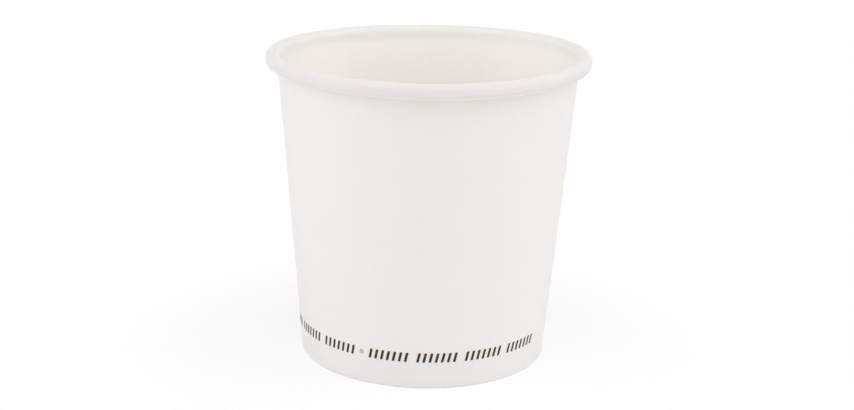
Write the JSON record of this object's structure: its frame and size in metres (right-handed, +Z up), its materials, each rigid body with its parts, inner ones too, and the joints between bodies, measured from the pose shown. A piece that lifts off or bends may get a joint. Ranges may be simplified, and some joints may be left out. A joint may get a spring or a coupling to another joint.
{
  "type": "paper cup",
  "caption": "Small white single-wall paper cup: tapered board wall with a rolled rim and lapped side seam, folded foot gripping a recessed base disc, and a printed border near the foot.",
  "frame": {"origin": "centre of the foot on the table", "axes": "+Z up along the cup's axis, from the foot to the rim; -Y is the side that the picture shows, with the pale dot to its left; the side seam is at the back, at -X +Y"},
  "size_m": [0.062, 0.062, 0.0593],
  "materials": {
    "wall_board": "white cup board, uncoated outside, thin satin coating inside",
    "base_board": "white cup board with a thin satin coating on the upper face",
    "dark_ink": "matte dark brown ink on board",
    "pale_ink": "matte pale blue ink on board"
  },
  "bodies": {
    "root": {"side_wall": "wall_board", "base_disc": "base_board", "printed_strokes": "dark_ink", "printed_dot": "pale_ink"}
  },
  "joints": []
}
